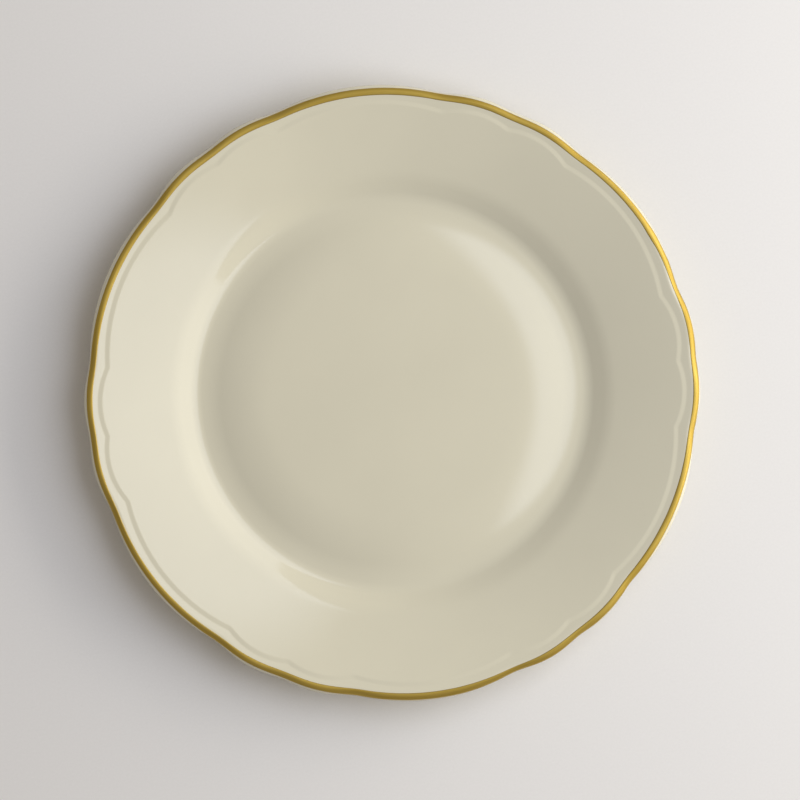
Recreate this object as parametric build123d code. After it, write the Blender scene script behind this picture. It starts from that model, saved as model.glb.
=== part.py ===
from build123d import *

import os
from math import cos, radians, sin

# China dinner plate with a scalloped, gold-lined rim.
# Millimetres, +Z up. The plate stands on its foot ring on Z = 0, with its axis on Z,
# and a pair of small lobes points along +X.
#
# Four pieces, in the order in which the factory adds them:
#   china_body        the pressed and fired clay, with a bare foot ring
#   glaze_coat        the glass over its face, edge and back
#   foot_recess_glaze the glass inside the foot ring, apart because the foot is wiped dry
#   gold_line         the gold band fired onto the glaze of the rim

# ---- overall sizes ----
PLATE_D = 266.7  # across two opposite broad lobes, 10 1/2 in
RIM_H = 21.7  # from the table to the outer corner of the border, before it is rounded

# ---- well ----
WELL_T = 4.6  # glazed thickness of the floor
CROWN_RISE = 2.4  # the middle of the floor stands this much above the moat round it
CROWN_R = 64.0  # radius at which the crown starts to fall
MOAT_IN_R = 78.2  # foot of the crown's fall
MOAT_OUT_R = 85.1  # foot of the wall
CROWN_BEND = 120.0  # bend radii of the section, crown to moat
MOAT_BEND = 48.0
WALL_BEND = 12.5  # tight bend where the moat turns up into the wall

# ---- wall and rim ----
SHOULDER_R = 94.2  # where the wall eases into the rim
WALL_RISE = 4.05  # moat to shoulder
SHOULDER_BEND = 37.0
RIM_BELLY = 0.16  # the rim's face bulges this much above a straight line
RIM_EDGE_T = 4.5  # glazed thickness of the rim at its edge
EDGE_TOP_SHARE = 0.66  # the edge rolls over at the top, by this share of its thickness
EDGE_UNDER_SHARE = 0.25  # and is eased underneath
RIM_TILT = 14.0  # tilts of the face, square to which the thickness is laid off
SHOULDER_TILT = 19.0
WALL_FOOT_TILT = 12.0

# ---- foot ring ----
FOOT_D = 165.0  # across the outside of the bearing face
FOOT_W = 3.2  # width of the bearing face
FOOT_H = 3.6  # table to the underside of the floor beside the ring
FOOT_FLARE = 0.8  # each side of the ring leans out this much from face to root
FOOT_ROUND = 0.9  # rounding of the bearing face's two corners
FOOT_ROOT = 1.4  # fillet where the ring joins the plate

# ---- scallops ----
REPEATS = 6  # each repeat is a pair of small lobes and one broad lobe
SMALL_LOBE_DEG = 13.7  # each small lobe's share of the round; the broad lobe has the rest
SMALL_LOBE_DROP = 0.3  # small lobes stop this far short of the broad ones
DEEP_NOTCH = 2.45  # between a broad and a small lobe, before softening
SMALL_NOTCH = 1.8  # between the two small lobes, before softening
NOTCH_SOFT = 60.0  # radius that softens every notch
DRIFT_DEG = 1.33  # the mould maker's spacing: scallops bunch up on one side of the plate
DRIFT_FROM = -50.4

# ---- pressed border ----
BORDER_W = 6.1  # edge to the outside of the pressed step, at a lobe's middle
BORDER_STEP = 0.45  # the border lies this much lower than the rim
STEP_RUN = 1.2  # the step slopes over this width
STEP_FOOT = 0.05  # and ends in an upright foot this high
BORDER_DEEP = 2.9  # depth of the step's inward points, at the deep and the small notches
BORDER_SMALL = 2.0

# ---- glaze and gold ----
GLAZE_T = 0.28
WIPE_H = 0.9  # the foot is wiped clean of glaze up to this height
GOLD_T = 0.08
GOLD_W = 2.35  # width of the band
GOLD_INSET = 1.35  # band's outer edge to the plate's edge, at a lobe's middle
GOLD_DEEP = 1.2  # the brush only half follows the scallops
GOLD_SMALL = 0.7

PLATE_R = PLATE_D / 2
THROUGH = -1.0
OVERSHOOT = 4.0  # the turned section runs past the edge and is trimmed to the scallops
MOAT_Z = FOOT_H + WELL_T
SHOULDER_Z = MOAT_Z + WALL_RISE
FACE_Z = RIM_H + BORDER_STEP  # the rim's face, carried on to the plate's edge
EDGE_TOP = EDGE_TOP_SHARE * RIM_EDGE_T
EDGE_UNDER = EDGE_UNDER_SHARE * RIM_EDGE_T


def scallop_line(reach, lobe_drop, deep, small, soften):
    """Closed face whose outline has a pair of small lobes and a broad lobe in each repeat.

    reach is the radius at a broad lobe's middle; the other sizes are measured inward from it.
    """

    def at(angle, inward):
        angle -= DRIFT_DEG * sin(radians(angle - DRIFT_FROM))
        radius = reach - inward
        return (radius * cos(radians(angle)), radius * sin(radians(angle)))

    pitch = 360 / REPEATS
    lobes = []
    for start in range(REPEATS):
        pair = start * pitch
        middle = at(pair, small)
        right = at(pair + SMALL_LOBE_DEG, deep)
        left = at(pair + pitch - SMALL_LOBE_DEG, deep)
        end = at(pair + pitch, small)
        lobes.append(ThreePointArc(middle, at(pair + SMALL_LOBE_DEG / 2, lobe_drop), right))
        lobes.append(ThreePointArc(right, at(pair + pitch / 2, 0), left))
        lobes.append(ThreePointArc(left, at(pair + pitch - SMALL_LOBE_DEG / 2, lobe_drop), end))
    face = make_face(lobes)
    if soften:
        # A small lobe has room for no larger radius than its length and its bend allow.
        lobe_length = reach * radians(SMALL_LOBE_DEG)
        notch_turn = 4 * (deep + small) / lobe_length
        face = fillet(face.vertices(), min(soften, lobe_length / notch_turn))
    return face


def prism(face, low, high):
    """Upright solid on a flat outline, between two heights."""
    return extrude(Pos(0, 0, low) * face, high - low)


def beneath(point, thickness, tilt):
    """Point under a face that rises outward by tilt degrees."""
    r, z = point
    return (r + thickness * sin(radians(tilt)), z - thickness * cos(radians(tilt)))


def rim_face(radius):
    """Height of the rim's gently bulging face, carried on to any radius."""
    share = (radius - SHOULDER_R) / (PLATE_R - SHOULDER_R)
    straight = SHOULDER_Z + share * (FACE_Z - SHOULDER_Z)
    return straight + 4 * RIM_BELLY * share * (1 - share)


def section():
    """Corners of the glazed plate's half section, as if the foot's face were glazed too.

    They run out along the face and back along the underside, each as radius, height, bend.
    THROUGH marks a point in the middle of one long arc, where there is no corner.
    """
    belly = ((SHOULDER_R + PLATE_R) / 2, rim_face((SHOULDER_R + PLATE_R) / 2))
    edge = (PLATE_R + OVERSHOOT, rim_face(PLATE_R + OVERSHOOT))
    shoulder = (SHOULDER_R, SHOULDER_Z)
    wall_foot = (MOAT_OUT_R, MOAT_Z)
    foot_out = FOOT_D / 2
    foot_in = foot_out - FOOT_W
    return [
        (0, MOAT_Z + CROWN_RISE, 0),
        (CROWN_R, MOAT_Z + CROWN_RISE, CROWN_BEND),
        (MOAT_IN_R, MOAT_Z, MOAT_BEND),
        (*wall_foot, WALL_BEND),
        (*shoulder, SHOULDER_BEND),
        (*belly, THROUGH),
        (*edge, 0),
        (*beneath(edge, RIM_EDGE_T + BORDER_STEP, RIM_TILT), 0),
        (*beneath(belly, (WELL_T + RIM_EDGE_T + BORDER_STEP) / 2, RIM_TILT), THROUGH),
        (*beneath(shoulder, WELL_T, SHOULDER_TILT), SHOULDER_BEND - WELL_T),
        (beneath(wall_foot, WELL_T, WALL_FOOT_TILT)[0], FOOT_H, 2 * FOOT_ROOT),
        (foot_out + FOOT_FLARE, FOOT_H, FOOT_ROOT),
        (foot_out, -GLAZE_T, FOOT_ROUND),
        (foot_in, -GLAZE_T, FOOT_ROUND),
        (foot_in - FOOT_FLARE, FOOT_H, FOOT_ROOT),
        (CROWN_R, FOOT_H + CROWN_RISE, CROWN_BEND),
        (0, FOOT_H + CROWN_RISE, 0),
    ]


def moved_in(corners, skin):
    """The corners moved in square to both their sides, with bends to match."""
    points = [Vector(r, z) for r, z, bend in corners]
    bends = [bend for r, z, bend in corners]
    ways = [(b - a).normalized() for a, b in zip(points, points[1:])]
    moved = []
    for point, bend, before, after in zip(points, bends, ways[:1] + ways, ways + ways[-1:]):
        inward = Vector(before.Y, -before.X) + Vector(after.Y, -after.X)
        point += inward * (skin / (1 + before.dot(after)))
        if bend:
            outer_corner = before.cross(after).Z < 0
            bend += -skin if outer_corner else skin
        moved.append((point.X, point.Y, bend))
    return moved


def lathe(half):
    """Turn a half section about Z, with the seam under the middle of a broad lobe."""
    return Rot(0, 0, 180 / REPEATS) * revolve(Plane.XZ * half, Axis.Z)


def turned(skin):
    """The section, its surface moved in by skin, turned about the axis."""
    corners = moved_in(section(), skin)
    points = [(r, z) for r, z, bend in corners]
    arcs = [i for i, (r, z, bend) in enumerate(section()) if bend == THROUGH]
    outline = []
    start = 0
    for middle in arcs:
        outline.append(Polyline(*points[start:middle]))
        outline.append(ThreePointArc(*points[middle - 1 : middle + 2]))
        start = middle + 1
    outline.append(Polyline(*points[start:], points[0]))
    half = make_face(outline)
    for i, (r, z, bend) in enumerate(corners):
        if bend and i not in arcs:
            half = fillet(half.vertices().sort_by_distance((r, z))[0], bend)
    return lathe(half)


def border_cutter(skin):
    """Ring that lowers the border: the space above it, outside the pressed line."""
    inner = PLATE_R - BORDER_W - BORDER_DEEP - 2 * STEP_RUN
    outer = PLATE_R + OVERSHOOT
    slope = (rim_face(outer) - rim_face(inner)) / (outer - inner)
    drop = BORDER_STEP + skin * (1 + slope**2) ** 0.5
    top = rim_face(outer) + OVERSHOOT
    floor = [(r, rim_face(r) - drop) for r in (inner, (inner + outer) / 2, outer)]
    ring = [ThreePointArc(*floor), Polyline(floor[-1], (outer, top), (inner, top), floor[0])]
    line = scallop_line(PLATE_R - BORDER_W - skin, 0, BORDER_DEEP, BORDER_SMALL, 0)
    return lathe(make_face(ring)) - prism(line, 0, top + 1)


def radius_of(edge):
    middle = edge.position_at(0.5)
    return (middle.X**2 + middle.Y**2) ** 0.5


def sloped_step(blank, skin):
    """Slope the upright step between the rim and its lower border."""

    def on_top_of_step(edge):
        radius = radius_of(edge)
        near = PLATE_R - BORDER_W - BORDER_DEEP - 1 < radius < PLATE_R - BORDER_W + 1
        height = edge.position_at(0.5).Z
        return near and height > rim_face(radius) - skin - BORDER_STEP / 2

    step = blank.edges().filter_by(on_top_of_step)
    rim = blank.faces().filter_by(lambda face: step[0] in face.edges()).sort_by(SortBy.AREA)[-1]
    return chamfer(step, STEP_RUN, BORDER_STEP - STEP_FOOT, reference=rim)


def at_rim(edge, side):
    """Whether an edge runs round the trimmed rim, at its top (side 1) or underneath (-1)."""
    radius = radius_of(edge)
    middle = rim_face(PLATE_R) - BORDER_STEP - RIM_EDGE_T / 2
    outermost = radius > PLATE_R - DEEP_NOTCH - 1
    level = not edge.geom_type == GeomType.LINE
    return outermost and level and side * (edge.position_at(0.5).Z - middle) > 0


def trimmed(blank, skin):
    """Trim a turned blank to the scallops and round its edge, top and bottom."""
    edge = scallop_line(PLATE_R - skin, SMALL_LOBE_DROP, DEEP_NOTCH, SMALL_NOTCH, NOTCH_SOFT + skin)
    solid = blank & prism(edge, -OVERSHOOT, RIM_H + 2 * OVERSHOOT)
    for side, round_by in ((1, EDGE_TOP), (-1, EDGE_UNDER)):
        corners = [edge for edge in solid.edges() if at_rim(edge, side)]
        solid = fillet(corners, round_by - skin)
    return solid


def plate(skin):
    """The plate's shape with its whole surface moved in by skin."""
    return trimmed(sloped_step(turned(skin) - border_cutter(skin), skin), skin)


def gold_band(glazed):
    """Gold laid on the glaze between two lines that half follow the scallops."""
    outer, inner = [
        scallop_line(reach, SMALL_LOBE_DROP, GOLD_DEEP, GOLD_SMALL, NOTCH_SOFT)
        for reach in (PLATE_R - GOLD_INSET, PLATE_R - GOLD_INSET - GOLD_W)
    ]
    gilded = trimmed(turned(-GOLD_T) - border_cutter(-GOLD_T), -GOLD_T)
    layer = (gilded - glazed) & prism(outer - inner, SHOULDER_Z, RIM_H + OVERSHOOT)
    return layer.solids().sort_by(Axis.Z)[-1]


fired_surface = plate(GLAZE_T)
glazed_surface = plate(0)
wiped_off = prism(make_face(Circle(PLATE_R).edges()), -OVERSHOOT, WIPE_H)
glaze = glazed_surface - fired_surface - wiped_off
coat, recess = sorted(glaze.solids(), key=lambda solid: -solid.volume)

pieces = {
    "china_body": fired_surface,
    "glaze_coat": coat,
    "foot_recess_glaze": recess,
    "gold_line": gold_band(glazed_surface),
}

os.makedirs("parts", exist_ok=True)
for name, piece in pieces.items():
    piece.label = name
    export_step(piece, f"parts/{name}.step")
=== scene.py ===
from math import atan, cos, degrees, pi, radians, sin, tan

import bmesh
import bpy
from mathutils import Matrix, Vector


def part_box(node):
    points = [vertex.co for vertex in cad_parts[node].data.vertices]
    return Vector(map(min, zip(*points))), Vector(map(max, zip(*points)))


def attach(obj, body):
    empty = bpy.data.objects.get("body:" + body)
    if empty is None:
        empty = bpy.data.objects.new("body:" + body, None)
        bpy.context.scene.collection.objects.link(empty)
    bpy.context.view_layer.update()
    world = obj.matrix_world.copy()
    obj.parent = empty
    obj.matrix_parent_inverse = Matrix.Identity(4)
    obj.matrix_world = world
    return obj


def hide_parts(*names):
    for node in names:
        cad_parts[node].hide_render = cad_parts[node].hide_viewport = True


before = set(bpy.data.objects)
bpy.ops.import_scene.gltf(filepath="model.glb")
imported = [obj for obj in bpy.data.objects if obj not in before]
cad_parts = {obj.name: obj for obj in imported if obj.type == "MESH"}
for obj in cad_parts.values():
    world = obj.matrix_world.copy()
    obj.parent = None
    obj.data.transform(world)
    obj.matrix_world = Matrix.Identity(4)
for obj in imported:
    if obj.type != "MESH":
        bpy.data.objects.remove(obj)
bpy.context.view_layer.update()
MM = 0.001


# ---- fired clay ----
# White china clay, pressed over a turning mould, trimmed to the scallops and fired. The glaze
# hides all of it but the bearing face of the foot ring, which is wiped bare to stand on.

lowest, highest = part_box("glaze_coat")
PLATE_R = (highest[1] - lowest[1]) / 2

WELL_T = 4.6 * MM
FOOT_H = 3.6 * MM
CROWN_RISE = 2.4 * MM
CROWN_R = 64.0 * MM
MOAT_IN_R = 78.2 * MM
MOAT_OUT_R = 85.1 * MM
WALL_RISE = 4.05 * MM
SHOULDER_R = 94.2 * MM
RIM_BELLY = 0.16 * MM
CROWN_BEND = 120.0 * MM  # radii on which the section turns from one part to the next
MOAT_IN_BEND = 48.0 * MM
MOAT_OUT_BEND = 12.5 * MM
SHOULDER_BEND = 37.0 * MM
BACK_SHOULDER_BEND = 32.0 * MM
BACK_RIM_BEND = 300.0 * MM
WALL_FOOT_TILT = 12.0  # degrees by which the face rises outward, where the thickness is set off
SHOULDER_TILT = 19.0
RIM_TILT = 14.0
BORDER_Z = 21.68 * MM  # the border's face, carried on to a sharp outer corner
BORDER_STEP = 0.31 * MM  # the pressed step between the rim and its lower border
STEP_OUT = 6.15 * MM  # and where it ends and starts, from the edge inward
STEP_IN = 8.55 * MM
STEP_EASE = 0.22  # share of the step that eases it in, and again out
STEP_MARGIN = 0.3 * MM  # the step follows its own scallops this far past both its ends
RIM_FADE = 16.0 * MM  # inward of the step they die away over the rim
BORDER_FADE = 1.9 * MM  # and outward, over the border, they turn into the edge's
RIM_EDGE_T = 4.5 * MM
EDGE_TOP = 2.97 * MM  # the edge's roll, above and beneath
EDGE_UNDER = 1.12 * MM
FOOT_OUT_R = 82.5 * MM
FOOT_IN_R = 79.3 * MM
FOOT_FLARE = 0.8 * MM
FOOT_ROUND = 0.9 * MM
FOOT_ROOT = 1.4 * MM
GLAZE_T = 0.28 * MM
WIPE_H = 0.9 * MM

REPEATS = 6
HALF_REPEAT = 180 / REPEATS
SMALL_LOBE = 13.5  # degrees from the middle of a pair of small lobes to the deep notch
SOFTEN_DEEP = 3.36 * MM  # how much trimming, glaze and wear soften the edge's notches
SOFTEN_SMALL = 4.28 * MM
DRIFT = 1.33  # the most, in degrees, that the mould's uneven spacing moves a scallop
DRIFT_MIDDLE = -50.4  # and the turn about which the scallops bunch up

COLUMNS = 480  # so that the notches fall on columns of the mesh
WIDE_GAP = 1.6 * MM  # between points on the rim's plain face, and on its pressed step
FINE_GAP = 0.2 * MM
FACE_FACET = 1.0  # degrees from point to point where the section turns, on the face
BACK_FACET = 7.0  # and on the back

MOAT_Z = FOOT_H + WELL_T
SHOULDER_Z = MOAT_Z + WALL_RISE
FACE_Z = BORDER_Z + BORDER_STEP


def rim_face(radius):
    """Height of the rim's gently bulging face, as if it had no border."""
    share = (radius - SHOULDER_R) / (PLATE_R - SHOULDER_R)
    return SHOULDER_Z + share * (FACE_Z - SHOULDER_Z) + 4 * RIM_BELLY * share * (1 - share)


def rim_lean(radius):
    """Slope of the rim's face, and nought in the well."""
    run = 0.1 * MM
    return (rim_face(radius + run) - rim_face(radius)) / run if radius > SHOULDER_R else 0.0


def bent(corners, facet):
    """Points on a line through corners (r, z, bend), each turned on its bend radius."""
    points = []
    for before, corner, after in zip(corners, corners[1:], corners[2:]):
        here = Vector(corner[:2])
        bend = corner[2]
        if not bend:
            points.append(here)
            continue
        back = (Vector(before[:2]) - here).normalized()
        on = (Vector(after[:2]) - here).normalized()
        turn = pi - back.angle(on)
        start = here + back * bend * tan(turn / 2)
        middle = here + (back + on).normalized() * bend / cos(turn / 2)
        spoke = start - middle
        side = 1 if back.cross(on) < 0 else -1
        count = max(2, round(degrees(turn) / facet))
        for i in range(count + 1):
            a = side * turn * i / count
            out = spoke.x * cos(a) - spoke.y * sin(a)
            up = spoke.x * sin(a) + spoke.y * cos(a)
            points.append(middle + Vector((out, up)))
    return points


def beneath(radius, height, thickness, tilt):
    """The point under a face that rises outward by tilt degrees."""
    return (radius + thickness * sin(radians(tilt)), height - thickness * cos(radians(tilt)))


def soft_step(radius):
    """How far the face has dropped into the pressed border, eased in and out."""
    share = min(1, max(0, (radius - PLATE_R + STEP_IN) / (STEP_IN - STEP_OUT)))
    ends = 2 * STEP_EASE * (1 - STEP_EASE)
    if share < STEP_EASE:
        return BORDER_STEP * share**2 / ends
    if share > 1 - STEP_EASE:
        return BORDER_STEP * (1 - (1 - share) ** 2 / ends)
    return BORDER_STEP * (share - STEP_EASE / 2) / (1 - STEP_EASE)


def face_line():
    """The eating face, from the middle to where the edge starts to roll."""
    crown_z = MOAT_Z + CROWN_RISE
    rim_foot = SHOULDER_R + 6 * MM
    corners = [
        (0, crown_z, 0),
        (CROWN_R, crown_z, CROWN_BEND),
        (MOAT_IN_R, MOAT_Z, MOAT_IN_BEND),
        (MOAT_OUT_R, MOAT_Z, MOAT_OUT_BEND),
        (SHOULDER_R, SHOULDER_Z, SHOULDER_BEND),
        (rim_foot, rim_face(rim_foot), 0),
    ]
    flat_rings = range(0, 50, 7)  # radii, in millimetres, of the rings on the well's flat middle
    points = [Vector((r * MM, crown_z)) for r in flat_rings] + bent(corners, FACE_FACET)
    roll_start = PLATE_R - EDGE_TOP * (1 + sin(atan(rim_lean(PLATE_R))))
    radius = points[-1].x + WIDE_GAP
    while radius < roll_start - FINE_GAP:
        points.append(Vector((radius, rim_face(radius) - soft_step(radius))))
        on_step = STEP_OUT - FINE_GAP < PLATE_R - radius < STEP_IN + WIDE_GAP
        radius += FINE_GAP if on_step else WIDE_GAP
    return points


def back_line():
    """The rolled edge, the underside, the foot ring and the recess inside it."""
    border_in = PLATE_R - 6 * MM
    under_in = PLATE_R - 3 * MM
    belly_r = (SHOULDER_R + PLATE_R) / 2
    middle_t = (WELL_T + RIM_EDGE_T + BORDER_STEP) / 2
    under_z = beneath(PLATE_R, FACE_Z, RIM_EDGE_T + BORDER_STEP, RIM_TILT)[1]
    wiped = (WIPE_H + GLAZE_T) / (FOOT_H + GLAZE_T) * FOOT_FLARE
    corners = [
        (border_in, rim_face(border_in) - BORDER_STEP, 0),
        (PLATE_R, rim_face(PLATE_R) - BORDER_STEP, EDGE_TOP),
        (PLATE_R, under_z, EDGE_UNDER),
        (under_in, under_z - (PLATE_R - under_in) * rim_lean(PLATE_R), 0),
        (*beneath(belly_r, rim_face(belly_r), middle_t, RIM_TILT), BACK_RIM_BEND),
        (*beneath(SHOULDER_R, SHOULDER_Z, WELL_T, SHOULDER_TILT), BACK_SHOULDER_BEND),
        (beneath(MOAT_OUT_R, MOAT_Z, WELL_T, WALL_FOOT_TILT)[0], FOOT_H, 2 * FOOT_ROOT),
        (FOOT_OUT_R + FOOT_FLARE, FOOT_H, FOOT_ROOT),
        (FOOT_OUT_R + wiped, WIPE_H, 0),
        (FOOT_OUT_R, -GLAZE_T, FOOT_ROUND),
        (FOOT_IN_R, -GLAZE_T, FOOT_ROUND),
        (FOOT_IN_R - wiped, WIPE_H, 0),
        (FOOT_IN_R - FOOT_FLARE, FOOT_H, FOOT_ROOT),
        (CROWN_R, FOOT_H + CROWN_RISE, CROWN_BEND),
        (0, FOOT_H + CROWN_RISE, 0),
        (0, FOOT_H + CROWN_RISE, 0),
    ]
    return bent(corners, BACK_FACET)


def moved_in(line, skin):
    """The line's points moved in square to it, and straight down or up where it meets the axis."""
    moved = []
    for i, point in enumerate(line):
        along = line[min(i + 1, len(line) - 1)] - line[max(i - 1, 0)]
        at_axis = i in (0, len(line) - 1)
        square = Vector((0 if at_axis else along.y, -along.x)).normalized()
        moved.append(point + square * skin)
    return moved


class Wire:
    """An output socket in a node tree; arithmetic on it adds the nodes that do the sum."""

    def __init__(self, tree, socket=None):
        self.tree = tree
        self.socket = socket

    def node(self, kind, settings=None, inputs=None):
        """Add a node: its settings first, then the values or wires of its sockets."""
        made = self.tree.nodes.new(kind)
        for name, value in (settings or {}).items():
            setattr(made, name, value)
        for name, value in (inputs or {}).items():
            if isinstance(value, Wire):
                self.tree.links.new(value.socket, made.inputs[name])
            else:
                made.inputs[name].default_value = value
        return made

    def out(self, kind, settings=None, inputs=None, output=0):
        """Add a node and take one of its outputs."""
        return Wire(self.tree, self.node(kind, settings, inputs).outputs[output])

    def maths(self, operation, *values):
        """A Math node's answer; any wire of the tree can ask for it."""
        return self.out("ShaderNodeMath", {"operation": operation}, dict(enumerate(values)))

    def __add__(self, other):
        return self.maths("ADD", self, other)

    def __radd__(self, other):
        return self.maths("ADD", other, self)

    def __sub__(self, other):
        return self.maths("SUBTRACT", self, other)

    def __rsub__(self, other):
        return self.maths("SUBTRACT", other, self)

    def __mul__(self, other):
        return self.maths("MULTIPLY", self, other)

    def __rmul__(self, other):
        return self.maths("MULTIPLY", other, self)

    def __truediv__(self, other):
        return self.maths("DIVIDE", self, other)

    def __abs__(self):
        return self.maths("ABSOLUTE", self)

    def between(self, low, high, to_low=0.0, to_high=1.0):
        """Map one range to another, held at its ends."""
        ends = {"Value": self, "From Min": low, "From Max": high, "To Min": to_low, "To Max": to_high}
        return self.out("ShaderNodeMapRange", {"clamp": True}, ends)


def read(wire, name):
    """A number that every point of a mesh carries."""
    return wire.out("GeometryNodeInputNamedAttribute", {"data_type": "FLOAT"}, {"Name": name})


def named_inputs(tree, sizes):
    """Give a tree its geometry sockets and its named sizes, and return a wire for each."""
    interface = tree.interface
    interface.new_socket("Geometry", in_out="INPUT", socket_type="NodeSocketGeometry")
    interface.new_socket("Geometry", in_out="OUTPUT", socket_type="NodeSocketGeometry")
    for name in sizes:
        interface.new_socket(name, in_out="INPUT", socket_type="NodeSocketFloat")
    entry = tree.nodes.new("NodeGroupInput")
    return {name: Wire(tree, entry.outputs[name]) for name in ("Geometry", *sizes)}


def thrown(profile, columns):
    """Sweep a profile round the axis; every column carries its turn in degrees."""
    circle = profile.out("GeometryNodeCurvePrimitiveCircle", inputs={"Resolution": columns})
    turn = profile.out("GeometryNodeInputIndex") * (360 / columns)
    path = profile.out(
        "GeometryNodeStoreNamedAttribute",
        {"data_type": "FLOAT", "domain": "POINT"},
        {"Geometry": circle, "Name": "turn", "Value": turn},
    )
    curve = profile.out("GeometryNodeMeshToCurve", inputs={0: profile})
    return profile.out("GeometryNodeCurveToMesh", inputs={"Curve": path, "Profile Curve": curve})


def in_repeat(turn):
    """Degrees from the middle of the nearest pair of small lobes, from 0 to half a repeat."""
    ahead = turn + HALF_REPEAT
    return abs(turn.maths("FLOORED_MODULO", ahead, 2 * HALF_REPEAT) - HALF_REPEAT)


def drifted(turn, drift):
    """Where a turn lies on the plate, in radians, once the mould's uneven spacing is counted."""
    swing = turn.maths("RADIANS", turn - DRIFT_MIDDLE)
    return turn.maths("RADIANS", turn - drift * turn.maths("SINE", swing))


def lobe_inset(place, drop, deep, small, soften_deep, soften_small):
    """How far a scalloped line lies inside its reach, at a place in the repeat.

    Each lobe is a shallow bow. The small one runs from the small notch, through drop at its
    middle, to the deep notch; the broad one from the deep notch to nought.
    """

    def small_lobe(share):
        bow = 2 * (small + deep) - 4 * drop
        return small + share * (deep - small) - share * (1 - share) * bow

    broad = (HALF_REPEAT - place) / (HALF_REPEAT - SMALL_LOBE)
    near, far = small_lobe(place / SMALL_LOBE), small_lobe(place / -SMALL_LOBE)
    pair = place.maths("SMOOTH_MIN", near, far, soften_small)
    return place.maths("SMOOTH_MIN", pair, broad * broad * deep, soften_deep)


def edge_line(place, deep, small, drop):
    """The plate's own edge, its notches softened by trimming, glazing and wear."""
    return lobe_inset(place, drop, deep, small, SOFTEN_DEEP, SOFTEN_SMALL)


def put(geometry, radius, angle, height):
    """Put every point at a radius, an angle and a height."""
    across = radius * angle.maths("COSINE", angle)
    along = radius * angle.maths("SINE", angle)
    spot = geometry.out("ShaderNodeCombineXYZ", inputs={"X": across, "Y": along, "Z": height})
    return geometry.out("GeometryNodeSetPosition", inputs={"Geometry": geometry, "Position": spot})


def ended_with(geometry, material):
    """End a tree: join doubles, shade smooth, make all real and set the finish."""
    doubles = {"Geometry": geometry, "Distance": 0.001 * MM}
    joined = geometry.out("GeometryNodeMergeByDistance", inputs=doubles)
    smooth = geometry.out("GeometryNodeSetShadeSmooth", inputs={0: joined})
    real = geometry.out("GeometryNodeRealizeInstances", inputs={0: smooth})
    last = geometry.out("GeometryNodeSetMaterial", inputs={"Geometry": real, "Material": material})
    leave = geometry.tree.nodes.new("NodeGroupOutput")
    geometry.tree.links.new(last.socket, leave.inputs[0])


def profile_mesh(name, closed=False, **numbers):
    """A string of points, spread out only to be told apart; numbers are lists that they carry."""
    count = len(next(iter(numbers.values())))
    edges = [(i, (i + 1) % count) for i in range(count if closed else count - 1)]
    mesh = bpy.data.meshes.new(name)
    mesh.from_pydata([(i * MM, 0, 0) for i in range(count)], edges, [])
    for label, values in numbers.items():
        mesh.attributes.new(label, "FLOAT", "POINT").data.foreach_set("value", values)
    return mesh


def grown(name, profile, tree, sizes):
    """Run a tree on a profile and keep the result as a plain mesh, faces outward."""
    seed = bpy.data.objects.new(name + "_profile", profile)
    bpy.context.scene.collection.objects.link(seed)
    modifier = seed.modifiers.new("rule", "NODES")
    modifier.node_group = tree
    for item in tree.interface.items_tree:
        if item.in_out == "INPUT" and item.name in sizes:
            modifier[item.identifier] = float(sizes[item.name])
    ready = seed.evaluated_get(bpy.context.evaluated_depsgraph_get())
    mesh = bpy.data.meshes.new_from_object(ready)
    seed.modifiers.remove(modifier)
    bpy.data.objects.remove(seed)
    shape = bmesh.new()
    shape.from_mesh(mesh)
    if shape.calc_volume(signed=True) < 0:
        bmesh.ops.reverse_faces(shape, faces=shape.faces)
    shape.to_mesh(mesh)
    shape.free()
    for label in ("station", "height", "lean", "inward", "turn", "lift"):
        if label in mesh.attributes:
            mesh.attributes.remove(mesh.attributes[label])
    piece = bpy.data.objects.new(name, mesh)
    bpy.context.scene.collection.objects.link(piece)
    return piece


plate_sizes = {
    "Deep Notch": 2.42 * MM,
    "Small Notch": 1.93 * MM,
    "Lobe Drop": 0.33 * MM,
    "Step Deep": 2.8 * MM,
    "Step Small": 1.95 * MM,
    "Step Soften": 0.3 * MM,
    "Drift": DRIFT,
}


def plate_shell(name, outside, inside, columns, material):
    """Throw a shell from points outside and, when it has a wall, back along the inside.

    Every point is (its own place, the outer surface's place beside it); the second says how
    far in from the edge it counts as being, so that a wall keeps its thickness. The shell is
    closed where its points start and end on the axis.
    """
    walk = outside + inside[::-1]
    profile = profile_mesh(
        name + "_section",
        station=[own.x for own, over in walk],
        height=[own.y for own, over in walk],
        lean=[rim_lean(over.x) for own, over in walk],
        inward=[PLATE_R - over.x for own, over in walk],
    )
    tree = bpy.data.node_groups.new(name + "_rule", "GeometryNodeTree")
    wires = named_inputs(tree, plate_sizes)
    shell = thrown(wires["Geometry"], columns)
    turn = read(shell, "turn")
    inward = read(shell, "inward")
    place = in_repeat(turn)
    edge = edge_line(place, wires["Deep Notch"], wires["Small Notch"], wires["Lobe Drop"])
    soften = wires["Step Soften"]
    step = lobe_inset(place, 0.0, wires["Step Deep"], wires["Step Small"], soften, soften)
    near_step = inward.between(STEP_IN + RIM_FADE, STEP_IN + STEP_MARGIN)
    near_edge = inward.between(STEP_OUT - STEP_MARGIN, STEP_OUT - BORDER_FADE)
    shift = near_step * (step * (1 - near_edge) + edge * near_edge)
    radius = read(shell, "station") - shift
    height = read(shell, "height") - read(shell, "lean") * shift
    ended_with(put(shell, radius, drifted(turn, wires["Drift"]), height), material)
    return grown(name, profile, tree, plate_sizes)


def new_finish(name):
    """An empty material; its tree is started from the returned wire."""
    material = bpy.data.materials.new(name)
    material.use_nodes = True
    material.node_tree.nodes.clear()
    return material, Wire(material.node_tree)


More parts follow.
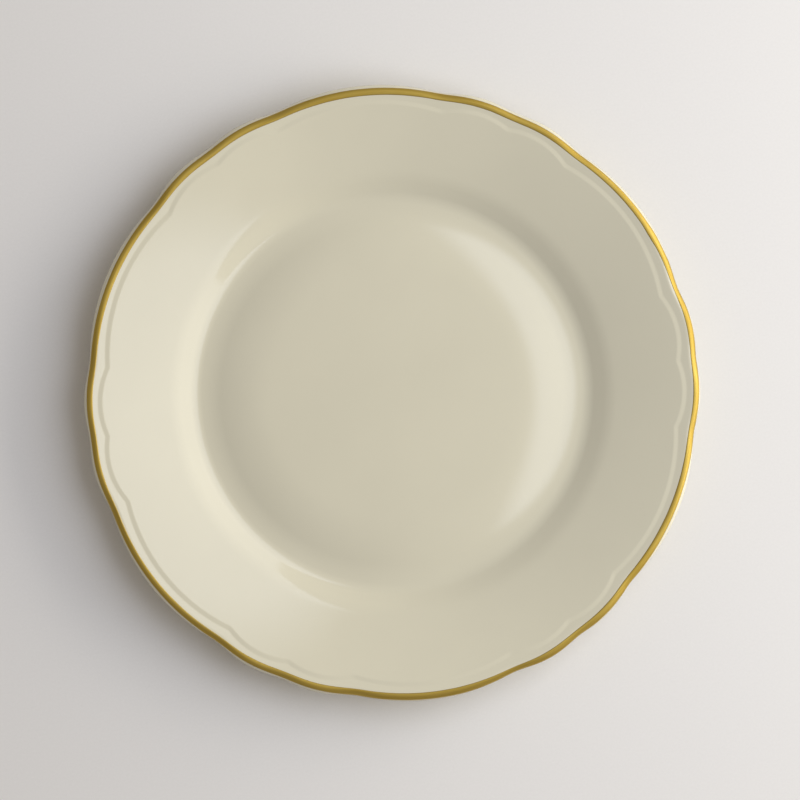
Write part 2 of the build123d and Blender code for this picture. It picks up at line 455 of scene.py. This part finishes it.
def noise(wire, place, scale, detail=2.0, roughness=0.5):
    """Cloudy noise, so many clouds to a unit of place, with finer ones laid over them."""
    inputs = {"Vector": place, "Scale": scale, "Detail": detail, "Roughness": roughness}
    return wire.out("ShaderNodeTexNoise", inputs=inputs)


def mixed(wire, factor, one, other):
    """A colour between two; a Mix node has its colours at inputs 6 and 7 and output 2."""
    one, other = [c if isinstance(c, Wire) else (*c, 1) for c in (one, other)]
    inputs = {"Factor": factor, 6: one, 7: other}
    return wire.out("ShaderNodeMix", {"data_type": "RGBA"}, inputs, 2)


def surfaced(wire, **inputs):
    """End a material's tree in its shader."""
    sockets = {name.replace("_", " "): value for name, value in inputs.items()}
    shader = wire.out("ShaderNodeBsdfPrincipled", inputs=sockets)
    wire.node("ShaderNodeOutputMaterial", inputs={"Surface": shader})


CLAY_CLEAN = (0.69, 0.66, 0.58)
CLAY_STAINED = (0.56, 0.52, 0.44)
CLAY_GRIT = (0.63, 0.60, 0.52)

bare_china, clay = new_finish("bare_china")
clay_place = clay.out("ShaderNodeTexCoord", output="Object")
grit = noise(clay, clay_place, 2600.0, 3.0, 0.7)
scuffs = noise(clay, clay_place, 160.0, 4.0, 0.65)
clay_colour = mixed(clay, scuffs.between(0.42, 0.62), CLAY_CLEAN, CLAY_STAINED)
clay_grain = clay.out("ShaderNodeBump", inputs={"Strength": 0.5, "Distance": 0.06 * MM, "Height": grit})
surfaced(
    clay,
    Base_Color=mixed(clay, grit.between(0.35, 0.7), clay_colour, CLAY_GRIT),
    Roughness=scuffs.between(0.3, 0.7, 0.86, 0.7),
    Normal=clay_grain,
)

glazed_line = face_line() + back_line()
fired_line = moved_in(glazed_line, GLAZE_T)
wiped_out, wiped_in = [i for i, point in enumerate(glazed_line) if abs(point.y - WIPE_H) < 1e-9]
hidden = list(range(0, wiped_out, 3))  # a third of the points will do under the glaze
shown = list(range(wiped_out, wiped_in + 1))
recessed = list(range(wiped_in + 1, len(glazed_line)))


def beside(line, order):
    """Points of a line, each with the glaze's surface beside it."""
    return [(line[i], glazed_line[i]) for i in order]


clay_order = hidden + shown + recessed
clay_body = plate_shell("fired_clay", beside(fired_line, clay_order), [], COLUMNS, bare_china)
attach(clay_body, "root")
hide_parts("china_body")


# ---- glaze over the plate ----
# Ivory glass a quarter of a millimetre thick, which the fired clay is dipped in. It covers
# the face, the edge and the back, and softens the pressed line and the notches.


def ivory(name, colour):
    """Glossy ivory glaze: faintly clouded, faintly specked, with the slight swim of melted glass."""
    material, glass = new_finish(name)
    place = glass.out("ShaderNodeTexCoord", output="Object")
    cloud = noise(glass, place, 24.0, 3.0)
    speck = noise(glass, place, 1500.0, 2.0, 0.6)
    swim = noise(glass, place, 70.0, 2.0, 0.4)
    thin, thick, dust = [[c * share for c in colour] for share in (0.985, 1.015, 0.93)]
    tint = mixed(glass, cloud.between(0.3, 0.7), thin, thick)
    ripple = {"Strength": 0.05, "Distance": 0.2 * MM, "Height": swim}
    surfaced(
        glass,
        Base_Color=mixed(glass, speck.between(0.62, 0.8, 0.0, 0.6), tint, dust),
        Roughness=cloud.between(0.2, 0.8, 0.07, 0.1),
        Normal=glass.out("ShaderNodeBump", inputs=ripple),
        IOR=1.5,
    )
    return material


IVORY = (0.70, 0.655, 0.49)
coat_order = list(range(wiped_out + 1))
glaze = plate_shell(
    "glaze_skin",
    beside(glazed_line, coat_order),
    beside(fired_line, hidden + [wiped_out]),
    COLUMNS,
    ivory("ivory_glaze", IVORY),
)
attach(glaze, "root")
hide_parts("glaze_coat")


# ---- glaze in the foot's recess ----
# The same dip, left inside the foot ring. Wiping the ring dry before the firing parts it
# from the rest of the glaze.

RECESS_PAINTED_SHADE = 0.97  # painted shade: the glaze inside the foot ring, under the plate, is coloured a little darker
recess_order = [wiped_in] + recessed
recess = plate_shell(
    "recess_glaze",
    beside(glazed_line, recess_order),
    beside(fired_line, recess_order),
    COLUMNS // 2,
    # a darker copy of the ivory glaze, as painted shade in the recess
    ivory("recess_glaze", [c * RECESS_PAINTED_SHADE for c in IVORY]),
)
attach(recess, "root")
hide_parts("foot_recess_glaze")


# ---- gold line ----
# Burnish gold, brushed on the glazed edge by hand as the plate turns on a wheel, and fired.
# The brush only half follows the scallops, and its stroke ends over its own start.

GOLD_T = 0.07 * MM
GOLD_SUNK = 0.05 * MM
GOLD_OUT = 1.16 * MM  # outer and inner edges of the band, in from the plate's edge at a lobe
GOLD_IN = 4.0 * MM
GOLD_KEPT_IN = 0.14 * MM  # the least it stays in from that edge, and how softly it does
GOLD_KEPT_SOFT = 0.1 * MM
GOLD_COLUMNS = 1440
STROKE_END = 25.0  # the turn, in degrees, where the stroke ends over its start
OVERLAP_LONG = 2.6  # half the overlap's length, in degrees, and of its fully wide middle
OVERLAP_FULL = 0.8
OVERLAP_OUT = 0.15 * MM  # how much wider the line is there, on each side
OVERLAP_IN = 0.25 * MM

gold_sizes = {
    "Deep Notch": 2.42 * MM,
    "Small Notch": 1.93 * MM,
    "Lobe Drop": 0.33 * MM,
    "Stiffness": 0.5,  # the share of each notch that the brush cuts across
    "Sway": 0.5 * MM,
    "Pressure": 0.32 * MM,
    "Ragged": 0.2 * MM,
    "Drift": DRIFT,
}
across_top = [i / 10 for i in range(11)]
across_back = [0.99, 0.5, 0.01]
gold_profile = profile_mesh(
    "gold_section",
    closed=True,
    across=across_top + across_back,
    lift=[GOLD_T * (1 - abs(2 * v - 1) ** 6) for v in across_top] + [-GOLD_SUNK] * len(across_back),
)
gold_tree = bpy.data.node_groups.new("brushed_band", "GeometryNodeTree")
wires = named_inputs(gold_tree, gold_sizes)
band = thrown(wires["Geometry"], GOLD_COLUMNS)
turn = read(band, "turn")
across = read(band, "across")
round_turn = turn.maths("RADIANS", turn)


def wave(cycles, lead):
    """One to minus one, so many times round the plate."""
    return turn.maths("SINE", round_turn * cycles + radians(lead))


def brush_noise(lane, scale):
    """The brush's shake, the same where the stroke closes."""
    spot = turn.out(
        "ShaderNodeCombineXYZ",
        inputs={"X": turn.maths("COSINE", round_turn), "Y": turn.maths("SINE", round_turn), "Z": lane},
    )
    return noise(turn, spot, scale, 3.0, 0.6) - 0.5


place = in_repeat(turn)
edge = edge_line(place, wires["Deep Notch"], wires["Small Notch"], wires["Lobe Drop"])
cut_across = wires["Stiffness"] * edge
slow = wave(1, -35) + 0.3 * wave(3, 155) + 0.56 * wave(4, -142) + 0.3 * wave(5, -112)
sway = wires["Sway"] * slow
press = wires["Pressure"] * wave(2, -118)
shake_out = wires["Ragged"] * brush_noise(0.0, 9.0)
shake_in = wires["Ragged"] * brush_noise(5.0, 11.0)
overlap = abs(turn - STROKE_END).between(OVERLAP_LONG, OVERLAP_FULL)
outer = GOLD_OUT - cut_across + sway + shake_out - OVERLAP_OUT * overlap
inner = GOLD_IN - cut_across + sway + press + shake_in + OVERLAP_IN * overlap
outer = outer.maths("SMOOTH_MAX", outer, GOLD_KEPT_IN, GOLD_KEPT_SOFT)
offset = inner + across * (outer - inner)

# The band follows the border's face and then the roll of the edge, both in the section's plane.
LEAN = atan(rim_lean(PLATE_R))
ROLL_R = PLATE_R - EDGE_TOP
ROLL_Z = rim_face(PLATE_R) - BORDER_STEP - EDGE_TOP * (tan(LEAN) + 1 / cos(LEAN))
from_roll = (PLATE_R - ROLL_R) - offset
on_roll = from_roll.maths("MAXIMUM", from_roll, -EDGE_TOP * sin(LEAN))
rise = on_roll.maths("SQRT", EDGE_TOP**2 - on_roll * on_roll)
lift = read(band, "lift")
radius = ROLL_R + from_roll + lift * on_roll / EDGE_TOP - edge
height = rise + ROLL_Z + (from_roll - on_roll) * tan(LEAN) + lift * rise / EDGE_TOP - edge * tan(LEAN)

GOLD_THICK = (0.54, 0.39, 0.09)
GOLD_STREAK = (0.48, 0.33, 0.06)
GOLD_THIN = (0.5, 0.36, 0.12)  # where it thins out at its sides and the glaze shows through

fired_gold, metal = new_finish("fired_gold")
gold_place = metal.out("ShaderNodeTexCoord", output="Object")
parts = metal.node("ShaderNodeSeparateXYZ", inputs={0: gold_place})
x, y = [Wire(metal.tree, parts.outputs[i]) for i in (0, 1)]
axis_distance = metal.maths("SQRT", x * x + y * y)
lanes = metal.out(
    "ShaderNodeCombineXYZ",
    inputs={"X": x / axis_distance * 5.0, "Y": y / axis_distance * 5.0, "Z": axis_distance * 2600.0},
)
streaks = noise(metal, lanes, 1.0, 3.0, 0.6)
patches = noise(metal, gold_place, 90.0, 3.0, 0.6)
grain = noise(metal, gold_place, 3200.0, 2.0, 0.6)
from_side = metal.out("ShaderNodeAttribute", {"attribute_name": "across"}, output=2)
full = (1 - abs(from_side - 0.5) * 2).between(0.0, 0.16)
rich = mixed(metal, streaks.between(0.35, 0.65), GOLD_THICK, GOLD_STREAK)
brush_marks = {"Strength": 0.6, "Distance": 0.05 * MM, "Height": streaks + grain * 0.5}
surfaced(
    metal,
    Base_Color=mixed(metal, full, GOLD_THIN, rich),
    Metallic=full.between(0.0, 0.5, 0.55, 1.0),
    Roughness=(streaks * 0.6 + patches * 0.4).between(0.3, 0.7, 0.52, 0.66),
    Normal=metal.out("ShaderNodeBump", inputs=brush_marks),
)

ended_with(put(band, radius, drifted(turn, wires["Drift"]), height), fired_gold)
gold = grown("brushed_gold_line", gold_profile, gold_tree, gold_sizes)
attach(gold, "root")
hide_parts("gold_line")


# ---- floor ----
# A plain matt sheet of pale paper with a faint tooth, which the plate stands on. It is wide
# enough to fill every view.

FLOOR_R = 6.0
SHEET_DARK = (0.81, 0.785, 0.735)
SHEET_LIGHT = (0.83, 0.805, 0.755)
floor_mesh = bpy.data.meshes.new("floor")
disc = bmesh.new()
bmesh.ops.create_circle(disc, cap_ends=True, segments=96, radius=FLOOR_R)
disc.to_mesh(floor_mesh)
disc.free()
floor = bpy.data.objects.new("floor", floor_mesh)
bpy.context.scene.collection.objects.link(floor)
pale_sheet, sheet = new_finish("pale_sheet")
sheet_place = sheet.out("ShaderNodeTexCoord", output="Object")
tooth = noise(sheet, sheet_place, 900.0, 3.0, 0.6)
surfaced(
    sheet,
    Base_Color=mixed(sheet, tooth.between(0.3, 0.7), SHEET_DARK, SHEET_LIGHT),
    Roughness=0.9,
    Specular_IOR_Level=0.0,
)
floor_mesh.materials.append(pale_sheet)


# ---- light ----
# Two softboxes on the plate's +X side, a square one leaning over it and a low upright one
# behind that, and a weak even fill from all round.

LIGHT_SIDE = radians(4.4)
COOL, WARM = (0.92, 1.0, 1.18), (1.06, 1.0, 0.88)
FILL = 0.31
FILL_TINT = (1.06, 0.985, 0.93)


def softbox(name, glow, tint, deep, wide, out, high, lean, fade):
    """A softbox turned towards the plate, its cloth dimming over a share of its inner end."""
    lamp = bpy.data.lights.new(name, "AREA")
    lamp.shape = "RECTANGLE"
    lamp.size = deep
    lamp.size_y = wide
    lamp.color = tint
    lamp.energy = glow * pi * deep * wide
    lamp.use_nodes = True
    lamp.node_tree.nodes.clear()
    cloth = Wire(lamp.node_tree)
    spot = cloth.out("ShaderNodeNewGeometry", output="Parametric")
    along = cloth.out("ShaderNodeSeparateXYZ", inputs={0: spot})
    emission = cloth.out("ShaderNodeEmission", inputs={"Strength": along.between(0.0, fade)})
    cloth.node("ShaderNodeOutputLight", inputs={"Surface": emission})
    holder = bpy.data.objects.new(name, lamp)
    holder.location = (out * cos(LIGHT_SIDE), out * sin(LIGHT_SIDE), high)
    holder.rotation_euler = (0, radians(lean), LIGHT_SIDE)
    bpy.context.scene.collection.objects.link(holder)


softbox("key_softbox", 1.95, COOL, deep=1.084, wide=1.1, out=0.60, high=0.834, lean=42.5, fade=0.12)
softbox("low_softbox", 3.6, WARM, deep=0.80, wide=1.8, out=1.30, high=0.45, lean=90, fade=0.01)

world = bpy.data.worlds.new("fill")
world.use_nodes = True
glow = world.node_tree.nodes["Background"]
glow.inputs["Color"].default_value = (*FILL_TINT, 1)
glow.inputs["Strength"].default_value = FILL
bpy.context.scene.world = world


# ---- camera ----
# The eye is straight above the plate, turned a little so that the pair of small lobes on
# the +X side lies just above the three o'clock mark.

PLATE_TURN = radians(7.56)
EYE_HEIGHT = 2.0
VIEW_WIDTH = 344.7 * MM  # what the lens takes in at the height of the rim
EYE_ASIDE = (3.36 * MM, -2.89 * MM)  # from the plate's middle to the view's, right and up

eye = bpy.data.cameras.new("eye")
eye.sensor_width = 36
eye.lens = eye.sensor_width * EYE_HEIGHT / VIEW_WIDTH
eye.shift_x = EYE_ASIDE[0] / VIEW_WIDTH
eye.shift_y = EYE_ASIDE[1] / VIEW_WIDTH
eye_object = bpy.data.objects.new("eye", eye)
eye_object.location = (0, 0, highest[2] + EYE_HEIGHT)
eye_object.rotation_euler = (0, 0, -PLATE_TURN)
bpy.context.scene.collection.objects.link(eye_object)
bpy.context.scene.camera = eye_object
bpy.context.scene.view_settings.view_transform = "Standard"
